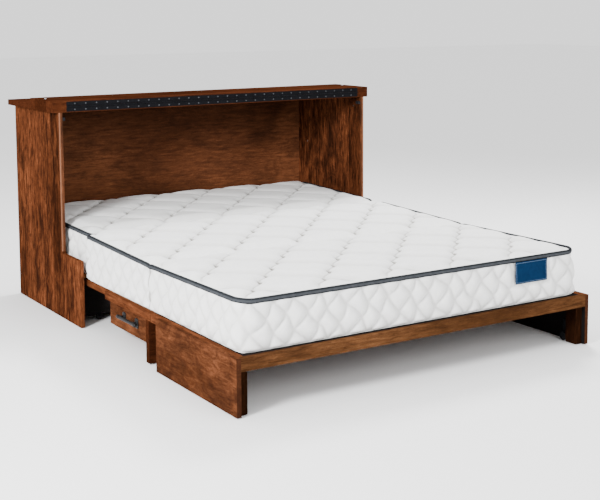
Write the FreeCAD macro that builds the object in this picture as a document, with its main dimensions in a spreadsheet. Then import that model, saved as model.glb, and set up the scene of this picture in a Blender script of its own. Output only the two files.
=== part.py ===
import FreeCAD, Part
import os
import re

# Cabinet bed, opened out: a shallow cabinet stands against the wall, a low base with two drawers
# rolls out of it, and a foot section on legs folds down in front of the base.
# X runs across the bed, +Y towards the wall, +Z up, millimetres.
# A "reach" is a distance from the cabinet's rear face out towards the foot of the bed.

SIZES = [
    # Cabinet
    ("cabinet_width", 1626), ("board", 18), ("back_board", 12), ("side_depth", 567), ("ledge_depth", 772),
    ("ledge_height", 290), ("side_height", 912), ("groove", 6), ("top_board", 25), ("top_overhang", 25),
    ("top_back_overhang", 27), ("cleat_width", 20), ("cleat_depth", 100), ("head_deck_board", 12),
    ("deck_setback", 42), ("running_gap", 1), ("catch_length", 25), ("catch_height", 14),
    ("catch_thick", 12), ("catch_drop", 22), ("glide_inset", 195), ("glide_width", 40),
    ("glide_length", 150), ("screw_radius", 4), ("screw_height", 1.6), ("screw_setback", 61),
    ("screw_drop", 48), ("rear_screw_drop", 262), ("rear_screw_setback", 15),
    # Lid
    ("lid_depth", 285), ("stud_radius", 6), ("stud_height", 2.5),
    ("stud_setback", 176), ("stud_edge", 8),
    # Long hinges
    ("hinge_inset", 20), ("leaf", 2), ("leaf_height", 18), ("leaf_drop", 3.5), ("knuckle_radius", 3),
    ("pin_radius", 1.5), ("pin_play", 0.06), ("knuckle_gap", 0.6), ("hinge_setback", 4),
    # Base on casters
    ("bed_height", 205), ("deck_overlap", 70), ("base_step_reach", 993), ("base_front_reach", 1426),
    ("rear_rail_height", 27), ("side_rail_height", 33), ("rear_board_bottom", 25),
    ("deck_nose", 11), ("front_board", 28), ("floor_play", 4), ("floor_bottom", 50),
    ("floor_board", 12), ("stringer_inset", 118), ("stringer_bottom", 70),
    ("caster_inset", 105.5), ("caster_width", 25), ("caster_plate", 4), ("caster_axle", 2.5),
    ("rear_wheel_radius", 11), ("front_wheel_radius", 20), ("axle_play", 0.06),
    # Drawers
    ("drawer_inset", 29), ("drawer_overlap", 12), ("drawer_gap", 3), ("drawer_bottom", 64),
    ("rail_play", 2), ("drawer_rear_half", 300), ("drawer_wall", 12), ("drawer_base", 6),
    ("tray_bottom", 70), ("tray_play", 25), ("track", 8), ("track_bottom", 100), ("track_height", 34),
    ("track_lip", 3),
    ("handle_lift", 3), ("handle_length", 165), ("handle_spacing", 114), ("handle_radius", 6.5),
    ("handle_standoff", 21), ("post_radius", 5.5), ("rosette_radius", 12), ("rosette_height", 4),
    # Foot section
    ("fold_drop", 3), ("foot_reach", 2134), ("leg_gap", 86), ("leg_bottom", 2), ("post_width", 33), ("post_depth", 56),
    ("foot_rail_height", 48), ("wheel_radius", 17), ("wheel_width", 20), ("wheel_setback", 99),
    ("wheel_plate", 3), ("wheel_plate_length", 40), ("wheel_plate_top", 80), ("wheel_axle", 4),
    # Mattress
    ("mattress_play", 23), ("mattress_rear_reach", 45), ("seam_play", 5),
    ("seam_setback", 40), ("foot_ledge", 30), ("seam_gap", 2), ("soft_gap", 0.3),
    ("head_thick", 214), ("head_seam_thick", 203), ("foot_seam_thick", 182), ("foot_thick", 177),
    ("crown", 10), ("corner_draw", 20), ("side_swell", 6), ("channel_drop", 5), ("channel_pitch", 118),
    ("edge_round", 34),
]

PLACES = [
    ("half_width", "cabinet_width / 2"),
    ("inner_half", "half_width - board"),
    ("top_half", "half_width + top_overhang"),
    ("lid_bottom", "side_height + top_board"),
    # The origin lies below the middle of the opened bed's length
    ("back_y", "(foot_reach - top_back_overhang) / 2"),
    ("top_front_reach", "side_depth - running_gap"),
    ("lid_back_reach", "top_front_reach - lid_depth"),
    ("stud_reach", "top_front_reach - stud_setback"),
    ("screw_reach", "side_depth - screw_setback"),
    ("hinge_half", "inner_half - hinge_inset"),
    ("head_deck_reach", "ledge_depth - deck_setback"),
    ("head_deck_bottom", "bed_height + running_gap"),
    ("head_deck_top", "head_deck_bottom + head_deck_board"),
    ("glide_half", "inner_half - glide_inset"),
    # Base: the side rails run inside the cabinet with a small gap
    ("rail_half", "inner_half - running_gap"),
    ("deck_bottom", "bed_height - board"),
    ("deck_half", "rail_half - board"),
    ("rear_deck_half", "deck_half - board"),
    ("base_rear_reach", "head_deck_reach - deck_overlap"),
    ("front_board_reach", "base_front_reach - deck_nose"),
    ("stringer_half", "rear_deck_half - stringer_inset"),
    ("caster_half", "rail_half - caster_inset"),
    ("box_front_reach", "front_board_reach - front_board"),
    ("drawer_face", "inner_half - drawer_inset"),
    ("drawer_face_rear", "base_step_reach - drawer_overlap"),
    ("drawer_top", "bed_height - side_rail_height - rail_play"),
    ("tray_top", "deck_bottom - tray_play"),
    ("handle_height", "(drawer_bottom + drawer_top) / 2 + handle_lift"),
    ("face_inner", "drawer_face - board"),
    ("drawer_centre_y", "back_y - (drawer_face_rear + box_front_reach) / 2"),
    ("tray_rear_reach", "base_step_reach + track * 2 + running_gap"),
    ("tray_front_reach", "box_front_reach - track * 2 - running_gap"),
    # Foot section
    ("fold_reach", "base_front_reach + hinge_setback"),
    ("fold_z", "bed_height - fold_drop"),
    ("leg_reach", "fold_reach + leg_gap"),
    ("wheel_reach", "foot_reach - wheel_setback"),
    ("foot_deck_rear", "fold_reach + hinge_setback"),
    ("foot_deck_reach", "foot_reach - board"),
    ("foot_deck_half", "inner_half - board"),
    # Mattress
    ("mattress_half", "inner_half - mattress_play"),
    ("head_seam_reach", "head_deck_reach + seam_play"),
    ("foot_seam_reach", "fold_reach - seam_setback"),
    ("mattress_reach", "foot_reach - foot_ledge"),
    ("head_top", "bed_height + head_thick"),
    ("head_seam_top", "bed_height + head_seam_thick"),
    ("foot_seam_top", "bed_height + foot_seam_thick"),
    ("foot_top", "bed_height + foot_thick"),
]

doc = FreeCAD.newDocument("cabinet_bed")
sizes = doc.addObject("Spreadsheet::Sheet", "Sizes")
for row, (name, value) in enumerate(SIZES, start=1):
    sizes.set(f"A{row}", name)
    sizes.set(f"B{row}", str(value))
    sizes.setAlias(f"B{row}", name)

places = doc.addObject("Spreadsheet::Sheet", "Places")
PLACE_NAMES = [name for name, formula in PLACES]


def bound(formula):
    """Points each word in a formula at its cell."""
    def cell(found):
        word = found.group(0)
        return f"Places.{word}" if word in PLACE_NAMES else f"Sizes.{word}"
    return re.sub(r"[a-z][a-z_]*", cell, formula)


for row, (name, formula) in enumerate(PLACES, start=1):
    local = bound(formula).replace("Places.", "")
    places.set(f"A{row}", name)
    places.set(f"B{row}", f"={local}")
    places.setAlias(f"B{row}", name)
doc.recompute()

V = FreeCAD.Vector
ALONG_X = FreeCAD.Rotation(V(0, 1, 0), 90)
ALONG_MINUS_Y = FreeCAD.Rotation(V(1, 0, 0), 90)
SIDES = (("left", "-1"), ("right", "1"))
NODES = []


def size(name):
    """Reads one cell as a plain number."""
    source = places if name in PLACE_NAMES else sizes
    return float(source.get(name))


def bind(thing, **formulas):
    for key, formula in formulas.items():
        thing.setExpression(key, bound(formula))
    return thing


def put(thing, x, y, z):
    thing.setExpression("Placement.Base.x", bound(x))
    thing.setExpression("Placement.Base.y", bound(y))
    thing.setExpression("Placement.Base.z", bound(z))
    return thing


def node(thing, label):
    """Marks an object as a finished piece with a file of its own."""
    thing.Label = label
    NODES.append(thing)
    return thing


def board(x, y, z, label="board"):
    """A board between two formulas on each axis; y takes reaches, nearest the wall first."""
    thing = doc.addObject("Part::Box", label)
    bind(thing, Length=f"{x[1]} - ({x[0]})", Width=f"{y[1]} - ({y[0]})", Height=f"{z[1]} - ({z[0]})")
    return put(thing, x[0], f"back_y - ({y[1]})", z[0])


def across(half):
    return (f"0 - ({half})", half)


def at_side(sign, inner, outer):
    """The X range between two distances from the middle, on one side."""
    return (inner, outer) if sign == "1" else (f"0 - ({outer})", f"0 - ({inner})")


def rod(radius, length, x, y, z, turn=None):
    """A round bar from the point given, along Z, X or -Y."""
    thing = doc.addObject("Part::Cylinder", "rod")
    bind(thing, Radius=radius, Height=length)
    if turn is not None:
        thing.Placement = FreeCAD.Placement(V(0, 0, 0), turn)
    return put(thing, x, y, z)


def cross_rod(radius, x, y, z):
    """A round bar along X between two formulas."""
    return rod(radius, f"{x[1]} - ({x[0]})", x[0], y, z, ALONG_X)


def cut(base, tool):
    thing = doc.addObject("Part::Cut", "cut")
    thing.Base = base
    thing.Tool = tool
    return thing


def fuse(shapes):
    thing = doc.addObject("Part::MultiFuse", "joined")
    thing.Shapes = shapes
    return thing


def group(shapes):
    """Alike solids that share one node."""
    thing = doc.addObject("Part::Compound", "group")
    thing.Links = shapes
    return thing


def pair(inner, outer, y, z):
    """The same board at each side of the bed."""
    return group([board(at_side(sign, inner, outer), y, z) for side, sign in SIDES])


# Cabinet
def side_panel(side, sign):
    """An upright side: deep below the bed ledge, shallower above, grooved for the head deck."""
    whole = board(at_side(sign, "inner_half", "half_width"), ("0 * board", "ledge_depth"),
                  ("0 * board", "side_height"))
    notch = board(at_side(sign, "inner_half - board", "half_width + board"),
                  ("side_depth", "ledge_depth + board"), ("ledge_height", "side_height + board"))
    slot = board(at_side(sign, "inner_half - board", "inner_half + groove"),
                 ("back_board", "head_deck_reach"), ("head_deck_bottom", "head_deck_top"))
    node(cut(cut(whole, notch), slot), f"side_panel_{side}")


def cabinet():
    for side, sign in SIDES:
        side_panel(side, sign)
    floor = "0 * board"
    node(board(across("inner_half"), (floor, "back_board"), (floor, "side_height")), "back_panel")
    node(board(across("top_half"), ("0 - top_back_overhang", "top_front_reach"),
               ("side_height", "lid_bottom")), "top_board")
    node(board(across("inner_half + groove"), ("back_board", "head_deck_reach"),
               ("head_deck_bottom", "head_deck_top")), "head_deck")
    node(pair("inner_half - cleat_width", "inner_half", ("back_board", "back_board + cleat_depth"),
              ("head_deck_top", "side_height")), "corner_cleats")
    catch_top = "side_height - catch_drop"
    node(pair("inner_half - catch_thick", "inner_half",
              ("top_front_reach - catch_length", "top_front_reach"),
              (f"{catch_top} - catch_height", catch_top)), "lid_catches")


def screw_heads():
    """Small bright heads on the cabinet's sides and on the cleats in its rear corners."""
    heads = []
    spots = (("inner_half", "screw_reach", "screw_drop"),
             ("inner_half - cleat_width", "back_board + cleat_depth - rear_screw_setback", "rear_screw_drop"))
    for face, reach, drop in spots:
        for side, sign in SIDES:
            x = at_side(sign, f"{face} - screw_height", face)
            heads.append(cross_rod("screw_radius", x, f"back_y - ({reach})", f"side_height - {drop}"))
    node(group(heads), "screw_heads")


def glides():
    """Thin strips under the head deck that the rolling base's deck slides along."""
    node(pair("glide_half", "glide_half + glide_width", ("head_deck_reach - glide_length", "head_deck_reach"),
              ("bed_height", "head_deck_bottom")), "deck_glides")


# Long hinges
def leaf_parts(number, pivot, leaf_reach, leaf_z, web_z, odd):
    """One leaf with every other knuckle, webbed to it and bored for the pin."""
    parts = [board(across("hinge_half"), leaf_reach, leaf_z)]
    pitch = f"hinge_half * 2 / {number}"
    for knuckle in range(odd, number, 2):
        low = f"0 - hinge_half + {pitch} * {knuckle} + knuckle_gap / 2"
        high = f"0 - hinge_half + {pitch} * {knuckle + 1} - knuckle_gap / 2"
        parts.append(board((low, high), leaf_reach, web_z))
        parts.append(cross_rod("knuckle_radius", (low, high), pivot[0], pivot[1]))
    bore = cross_rod("pin_radius + pin_play", across("hinge_half + board"), pivot[0], pivot[1])
    return cut(fuse(parts), bore)


def long_hinge(name, pivot_reach, pivot_z, fixed, moving):
    """A continuous hinge: each leaf is given as its reaches, its heights and its web's heights."""
    pivot = (f"back_y - ({pivot_reach})", pivot_z)
    knuckles = 13
    node(leaf_parts(knuckles, pivot, *fixed, 0), f"{name}_hinge_leaf_fixed")
    node(leaf_parts(knuckles, pivot, *moving, 1), f"{name}_hinge_leaf_moving")
    node(cross_rod("pin_radius", across("hinge_half"), *pivot), f"{name}_hinge_pin")


def lid():
    """The lid, folded back onto the top board, with its hinge and two bumper studs."""
    node(board(across("top_half"), ("lid_back_reach", "lid_back_reach + lid_depth"),
               ("lid_bottom", "lid_bottom + top_board")), "lid_board")
    reach = ("top_front_reach", "top_front_reach + leaf")
    below = "lid_bottom - leaf_drop"
    above = "lid_bottom + leaf_drop"
    long_hinge("lid", "top_front_reach + hinge_setback", "lid_bottom",
               (reach, (f"{below} - leaf_height", below), (below, "lid_bottom")),
               (reach, (above, f"{above} + leaf_height"), ("lid_bottom", above)))
    studs = [rod("stud_radius", "stud_height", f"{sign} * (half_width - stud_edge)", "back_y - stud_reach",
                 "lid_bottom + top_board") for side, sign in SIDES]
    node(group(studs), "lid_studs")


# Base
def base_boards():
    deck = ("deck_bottom", "bed_height")
    node(board(across("rear_deck_half"), ("base_rear_reach", "base_step_reach"), deck), "base_deck_rear")
    node(board(across("deck_half"), ("base_step_reach", "base_front_reach"), deck), "base_deck_front")
    node(pair("rear_deck_half", "deck_half", ("base_rear_reach", "base_step_reach"),
              ("bed_height - rear_rail_height", "bed_height")), "base_rear_rails")
    node(pair("deck_half", "rail_half", ("base_step_reach", "base_front_reach"),
              ("bed_height - side_rail_height", "bed_height")), "base_side_rails")
    node(board(across("rear_deck_half"), ("base_rear_reach", "base_rear_reach + board"),
               ("rear_board_bottom", "deck_bottom")), "base_rear_board")
    node(pair("stringer_half", "stringer_half + board",
              ("base_rear_reach + board", "base_step_reach - board"),
              ("stringer_bottom", "deck_bottom")), "base_stringers")
    node(board(across("face_inner - running_gap"), ("base_step_reach - board", "base_step_reach"),
               ("floor_bottom", "deck_bottom")), "base_partition")


def base_box():
    """The front board, the floor and the divider between the two drawers."""
    reach = ("box_front_reach", "front_board_reach")
    lower = board(across("rail_half"), reach, ("floor_play", "bed_height - side_rail_height"))
    upper = board(across("deck_half"), reach, ("bed_height - side_rail_height", "deck_bottom"))
    node(fuse([lower, upper]), "base_front_board")
    inside = ("base_step_reach", "box_front_reach")
    node(board(across("face_inner - running_gap"), inside, ("floor_bottom", "floor_bottom + floor_board")),
         "base_floor")
    node(board(across("board / 2"), inside, ("floor_bottom + floor_board", "deck_bottom")), "base_divider")


def caster(place, side, sign, radius, reach, top):
    """A wheel between two plates under the base."""
    low = f"{sign} * caster_half - caster_width / 2"
    high = f"{sign} * caster_half + caster_width / 2"
    plate_y = (f"{reach} - {radius}", f"{reach} + {radius}")
    cheek_z = (f"{radius} * 0.5", top)
    parts = [board((low, f"{low} + caster_plate"), plate_y, cheek_z),
             board((f"{high} - caster_plate", high), plate_y, cheek_z),
             board((low, high), plate_y, (f"{radius} * 2 + running_gap", top)),
             cross_rod("caster_axle", (low, high), f"back_y - ({reach})", radius)]
    node(fuse(parts), f"caster_fork_{place}_{side}")
    inner = (f"{low} + caster_plate + running_gap", f"{high} - caster_plate - running_gap")
    wheel = cross_rod(radius, inner, f"back_y - ({reach})", radius)
    bore = cross_rod("caster_axle + axle_play", (low, high), f"back_y - ({reach})", radius)
    node(cut(wheel, bore), f"caster_wheel_{place}_{side}")


def casters():
    for side, sign in SIDES:
        caster("rear", side, sign, "rear_wheel_radius", "base_rear_reach + rear_wheel_radius",
               "rear_board_bottom")
        caster("front", side, sign, "front_wheel_radius", "box_front_reach - front_wheel_radius * 2",
               "floor_bottom")


# Drawers
def tracks():
    """The fixed halves of the drawer slides, each with a lip that the moving half runs on."""
    bars = []
    heights = ("track_bottom", "track_bottom + track_height")
    lip = ("track_bottom - track_lip", "track_bottom")
    for side, sign in SIDES:
        x = at_side(sign, "drawer_rear_half", "face_inner - board")
        rear = board(x, ("base_step_reach", "base_step_reach + track"), heights)
        rear_lip = board(x, ("base_step_reach", "base_step_reach + track * 2"), lip)
        front = board(x, ("box_front_reach - track", "box_front_reach"), heights)
        front_lip = board(x, ("box_front_reach - track * 2", "box_front_reach"), lip)
        bars += [fuse([rear, rear_lip]), fuse([front, front_lip])]
    node(group(bars), "drawer_tracks")


def drawer(side, sign):
    node(board(at_side(sign, "face_inner", "drawer_face"),
               ("drawer_face_rear", "box_front_reach - drawer_gap"), ("drawer_bottom", "drawer_top")),
         f"drawer_front_{side}")
    outer = board(at_side(sign, "drawer_rear_half", "face_inner"), ("tray_rear_reach", "tray_front_reach"),
                  ("tray_bottom", "tray_top"))
    hollow = board(at_side(sign, "drawer_rear_half + drawer_wall", "face_inner - drawer_wall"),
                   ("tray_rear_reach + drawer_wall", "tray_front_reach - drawer_wall"),
                   ("tray_bottom + drawer_base", "tray_top + board"))
    node(cut(outer, hollow), f"drawer_tray_{side}")
    x = at_side(sign, "drawer_rear_half", "face_inner - board")
    heights = ("track_bottom", "track_bottom + track_height")
    bars = [board(x, ("tray_rear_reach - track", "tray_rear_reach"), heights),
            board(x, ("tray_front_reach", "tray_front_reach + track"), heights)]
    node(group(bars), f"drawer_slides_{side}")
    handle(side, sign)


def handle(side, sign):
    """A round bar with thicker ends on two posts, each with a flat foot."""
    bar_x = f"{sign} * (drawer_face + handle_standoff)"
    pieces = [rod("handle_radius * 0.85", "handle_length", bar_x, "drawer_centre_y + handle_length / 2",
                  "handle_height", ALONG_MINUS_Y)]
    post = at_side(sign, "drawer_face", "drawer_face + handle_standoff")
    foot = at_side(sign, "drawer_face", "drawer_face + rosette_height")
    for end in ("-1", "1"):
        y = f"drawer_centre_y + {end} * handle_spacing / 2"
        pieces.append(cross_rod("post_radius", post, y, "handle_height"))
        pieces.append(cross_rod("rosette_radius", foot, y, "handle_height"))
        tip = f"drawer_centre_y + {end} * (handle_length / 2 - handle_radius) + handle_radius"
        pieces.append(rod("handle_radius", "handle_radius * 2", bar_x, tip, "handle_height",
                          ALONG_MINUS_Y))
    node(fuse(pieces), f"drawer_handle_{side}")


# Foot section
def foot_section():
    deck = ("foot_deck_rear", "foot_deck_reach")
    node(board(across("foot_deck_half"), deck, ("deck_bottom", "bed_height")), "foot_deck")
    node(pair("foot_deck_half", "inner_half", deck, ("bed_height - side_rail_height", "bed_height")),
         "foot_side_rails")
    node(board(across("inner_half"), ("foot_deck_reach", "foot_reach"),
               ("bed_height - foot_rail_height", "bed_height")), "foot_rail")
    for side, sign in SIDES:
        node(board(at_side(sign, "inner_half", "half_width"), ("leg_reach", "foot_reach"),
                   ("leg_bottom", "bed_height")), f"leg_board_{side}")
        foot_wheel(side, sign)
    node(pair("inner_half - post_width", "inner_half", ("foot_deck_reach - post_depth", "foot_deck_reach"),
              ("leg_bottom", "bed_height - foot_rail_height")), "leg_posts")
    below = "fold_z - leaf_drop"
    heights = ("deck_bottom", below)
    web = (below, "fold_z")
    long_hinge("foot", "fold_reach", "fold_z",
               (("base_front_reach", "base_front_reach + leaf"), heights, web),
               (("foot_deck_rear - leaf", "foot_deck_rear"), heights, web))


def foot_wheel(side, sign):
    """A small wheel on a stub axle, on a plate inside the leg board."""
    y = "back_y - wheel_reach"
    face = "inner_half - wheel_plate"
    plate = board(at_side(sign, face, "inner_half"),
                  ("wheel_reach - wheel_plate_length / 2", "wheel_reach + wheel_plate_length / 2"),
                  ("wheel_radius * 0.6", "wheel_plate_top"))
    inner = f"{face} - running_gap - wheel_width"
    axle = cross_rod("wheel_axle", at_side(sign, f"{inner} - wheel_plate", "inner_half"), y, "wheel_radius")
    node(fuse([plate, axle]), f"foot_wheel_plate_{side}")
    wheel = cross_rod("wheel_radius", at_side(sign, inner, f"{face} - running_gap"), y, "wheel_radius")
    bore = cross_rod("wheel_axle + axle_play", at_side(sign, f"{inner} - board", "half_width"), y,
                     "wheel_radius")
    node(cut(wheel, bore), f"foot_wheel_{side}")


# Mattress: three soft panels with a crown, drawn-in ends and sewn channels across
def mattress_section(y, low, high, shrink):
    """One closed outline across the bed, of lines and arcs."""
    half = size("mattress_half") - shrink
    inner = half - size("corner_draw")
    waist = half - size("side_swell")
    near_low = low + size("corner_draw") / 2
    near_high = high - size("crown") - size("corner_draw") / 2
    shoulder = high - size("crown")
    middle = (near_low + near_high) / 2
    ring = [(-inner, low), (inner, low), (waist, near_low), (half, middle), (waist, near_high),
            (inner, shoulder), (0, high), (-inner, shoulder), (-waist, near_high), (-half, middle),
            (-waist, near_low)]
    points = [V(x, y, z) for x, z in ring]
    runs = [(0, 1), (1, 2), (2, 3, 4), (4, 5), (5, 6, 7), (7, 8), (8, 9, 10), (10, 0)]
    edges = []
    for run in runs:
        ends = [points[index] for index in run]
        curve = Part.Arc(*ends) if len(ends) == 3 else Part.LineSegment(*ends)
        edges.append(curve.toShape())
    return Part.Wire(edges)


def stations(length):
    """Places along a panel with how far the outline shrinks and how far the top drops."""
    edge = size("edge_round")
    crown = size("crown")
    rows = max(2, round(length / size("channel_pitch")))
    step = (length - edge * 2) / rows
    found = [(0, edge * 0.3, crown), (edge * 0.35, edge * 0.06, crown * 0.4)]
    for row in range(rows):
        start = edge + step * row
        if row:
            found.append((start, 0, size("channel_drop")))
        found.append((start + step * 0.3, 0, 0))
        found.append((start + step * 0.7, 0, 0))
    found.append((length - edge * 0.35, edge * 0.06, crown * 0.4))
    found.append((length, edge * 0.3, crown))
    return found


def mattress_panel(label, rear_reach, front_reach, bottom, rear_top, front_top):
    length = front_reach - rear_reach
    wires = []
    for along, shrink, drop in stations(length):
        high = rear_top + (front_top - rear_top) * along / length - drop
        wires.append(mattress_section(size("back_y") - rear_reach - along, bottom, high, shrink))
    panel = doc.addObject("Part::Feature", label)
    panel.Shape = Part.makeLoft(wires, True, True)
    node(panel, label)


def mattress():
    gap = size("seam_gap") / 2
    base = size("bed_height") + size("soft_gap")
    mattress_panel("mattress_head", size("mattress_rear_reach"), size("head_seam_reach") - gap,
                   size("head_deck_top") + size("soft_gap"), size("head_top"), size("head_seam_top"))
    mattress_panel("mattress_middle", size("head_seam_reach") + gap, size("foot_seam_reach") - gap,
                   base, size("head_seam_top"), size("foot_seam_top"))
    mattress_panel("mattress_foot", size("foot_seam_reach") + gap, size("mattress_reach"), base,
                   size("foot_seam_top"), size("foot_top"))


cabinet()
screw_heads()
glides()
lid()
base_boards()
base_box()
casters()
tracks()
for side, sign in SIDES:
    drawer(side, sign)
foot_section()
mattress()
doc.recompute()

for thing in doc.Objects:
    if "Invalid" in thing.State or "Error" in thing.State:
        raise RuntimeError(f"{thing.Label} failed: {thing.State}")
for piece in NODES:
    if piece.Shape.isNull() or not piece.Shape.isValid():
        raise RuntimeError(f"{piece.Label} has no valid shape")

os.makedirs("parts", exist_ok=True)
for piece in NODES:
    piece.Shape.exportStep(f"parts/{piece.Label}.step")
    print(piece.Label, len(piece.Shape.Solids), round(piece.Shape.Volume / 1000), "cm3")
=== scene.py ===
import bpy
import math
import numpy as np
from mathutils import Euler, Matrix, Vector


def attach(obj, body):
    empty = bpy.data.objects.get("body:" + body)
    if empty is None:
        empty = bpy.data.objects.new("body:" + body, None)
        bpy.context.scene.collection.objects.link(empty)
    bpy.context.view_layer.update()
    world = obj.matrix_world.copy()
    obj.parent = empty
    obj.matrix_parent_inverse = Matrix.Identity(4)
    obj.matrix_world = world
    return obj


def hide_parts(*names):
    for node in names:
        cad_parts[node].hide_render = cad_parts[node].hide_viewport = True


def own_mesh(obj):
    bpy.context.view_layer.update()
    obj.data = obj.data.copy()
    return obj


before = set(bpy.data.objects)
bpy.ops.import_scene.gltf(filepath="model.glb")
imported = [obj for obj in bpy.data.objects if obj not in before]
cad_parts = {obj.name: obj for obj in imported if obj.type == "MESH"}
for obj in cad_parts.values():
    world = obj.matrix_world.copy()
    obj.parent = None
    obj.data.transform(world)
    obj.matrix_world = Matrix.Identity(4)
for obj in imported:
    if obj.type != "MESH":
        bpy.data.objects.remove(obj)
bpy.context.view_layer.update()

backY = 1.0535  # the cabinet's rear face; a reach counts from here towards the foot


def reachY(reach):
    return backY - reach


# Camera: fitted to the photo; it looks down a little and shifts the picture slightly
camera = {
    "spot": (-2.6761, -4.4306, 1.3505),
    "heading": 32.2886,  # degrees from +Y towards +X
    "pitch": -5.7526,
    "roll": -0.3189,
    "lens": 71.23,
    "shiftY": -0.2,
}


def placeCamera():
    data = bpy.data.cameras.new("photoCamera")
    data.sensor_width = 36
    data.lens = camera["lens"]
    data.shift_y = camera["shiftY"]
    data.clip_end = 60
    eye = bpy.data.objects.new("photoCamera", data)
    heading, pitch, roll = (math.radians(camera[k]) for k in ("heading", "pitch", "roll"))
    turn = Euler((math.pi / 2 + pitch, 0, -heading), "XYZ").to_matrix()
    eye.matrix_world = Matrix.Translation(camera["spot"]) @ (turn @ Matrix.Rotation(roll, 3, "Z")).to_4x4()
    bpy.context.collection.objects.link(eye)
    bpy.context.scene.camera = eye


placeCamera()

# Studio: pale floor, white surroundings, soft lights from the left, from above and a weak one from the front
studio = {
    "floorColor": (0.93, 0.93, 0.93, 1),
    "worldColor": (1.0, 1.0, 1.0, 1),
    "worldStrength": 1.5,
    "lights": [
        # name, spot, aim, size, watts
        ("keyLight", (-4.2, -2.1, 2.4), (0, -0.2, 0.3), 1.1, 420),
        ("topLight", (2.1, 1.3, 3.4), (0, -0.2, 0.3), 1.3, 235),
        ("fillLight", (0.2, -4.4, 1.9), (0, 0.9, 0.6), 2.0, 70),
    ],
}


def placeStudio():
    mesh = bpy.data.meshes.new("studioFloor")
    reach = 30.0
    mesh.from_pydata([(-reach, -reach, 0), (reach, -reach, 0), (reach, reach, 0), (-reach, reach, 0)], [],
                     [(0, 1, 2, 3)])
    floor = bpy.data.objects.new("studioFloor", mesh)
    floor.location.z = -0.0015
    paint = bpy.data.materials.new("floorPaint")
    paint.use_nodes = True
    shader = paint.node_tree.nodes["Principled BSDF"]
    shader.inputs["Base Color"].default_value = studio["floorColor"]
    shader.inputs["Roughness"].default_value = 0.9
    mesh.materials.append(paint)
    bpy.context.collection.objects.link(floor)
    world = bpy.data.worlds.new("studioWorld")
    world.use_nodes = True
    sky = world.node_tree.nodes["Background"]
    sky.inputs["Color"].default_value = studio["worldColor"]
    sky.inputs["Strength"].default_value = studio["worldStrength"]
    bpy.context.scene.world = world
    for name, spot, aim, size, watts in studio["lights"]:
        lamp = bpy.data.lights.new(name, "AREA")
        lamp.shape = "DISK"
        lamp.size = size
        lamp.energy = watts
        holder = bpy.data.objects.new(name, lamp)
        holder.location = spot
        holder.rotation_euler = (Vector(aim) - Vector(spot)).to_track_quat("-Z", "Y").to_euler()
        bpy.context.collection.objects.link(holder)


placeStudio()
print("camera and studio placed")


# Materials
def newMaterial(name):
    material = bpy.data.materials.new(name)
    material.use_nodes = True
    tree = material.node_tree
    return material, tree, tree.nodes["Principled BSDF"]


def addNode(tree, kind, settings=None, **inputs):
    node = tree.nodes.new("ShaderNode" + kind)
    for key, value in (settings or {}).items():
        setattr(node, key, value)
    for key, value in inputs.items():
        socket = node.inputs[int(key[1:])] if key[0] == "i" and key[1:].isdigit() else node.inputs[key]
        if hasattr(value, "is_output"):
            tree.links.new(value, socket)
        else:
            socket.default_value = value
    return node


def math2(tree, operation, a, b=0.0):
    return addNode(tree, "Math", {"operation": operation}, i0=a, i1=b).outputs[0]


def ramp(tree, source, stops):
    node = addNode(tree, "ValToRGB", i0=source)
    elements = node.color_ramp.elements
    while len(elements) < len(stops):
        elements.new(0.5)
    for element, (spot, color) in zip(elements, stops):
        element.position = spot
        element.color = color if len(color) == 4 else (*color, 1)
    return node.outputs[0]


def mixColor(tree, blend, factor, a, b):
    node = addNode(tree, "Mix", {"data_type": "RGBA", "blend_type": blend, "clamp_factor": True})
    for index, value in ((0, factor), (6, a), (7, b)):
        if hasattr(value, "is_output"):
            tree.links.new(value, node.inputs[index])
        elif index:
            node.inputs[index].default_value = value if len(value) == 4 else (*value, 1)
        else:
            node.inputs[index].default_value = value
    return node.outputs[2]


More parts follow.
